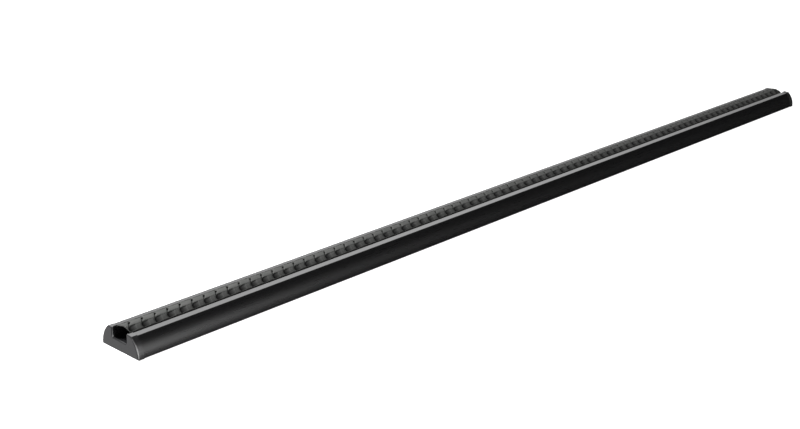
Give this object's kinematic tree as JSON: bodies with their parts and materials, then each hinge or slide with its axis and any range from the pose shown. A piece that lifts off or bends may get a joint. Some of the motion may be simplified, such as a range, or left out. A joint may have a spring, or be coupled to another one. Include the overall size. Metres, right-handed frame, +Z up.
{
  "type": "bed cargo bar",
  "caption": "Long D-profile aluminium cross bar with a wide top T-channel, a ribbed rubber infill strip that slides in it, and a notched moulded cap on each end.",
  "frame": {"origin": "middle of the flat underside, at the bottom of the bar", "axes": "+X along the bar towards the right end cap, +Y across the bar from front to rear, +Z up out of the top channel"},
  "size_m": [1.727, 0.0766, 0.0345],
  "materials": {
    "black_aluminium": "extruded aluminium under a satin black coating",
    "strip_rubber": "matte dark grey rubber with a moulded tread",
    "cap_plastic": "finely grained dark grey moulding"
  },
  "bodies": {
    "bar": {"bar_extrusion": "black_aluminium", "left_end_cap": "cap_plastic", "right_end_cap": "cap_plastic"},
    "strip": {"top_infill_strip": "strip_rubber"}
  },
  "joints": [
    {"name": "strip_slide", "type": "slide", "parent": "bar", "child": "strip", "axis": [1, 0, 0], "range_m": [-0.0041, 0.0123]}
  ]
}
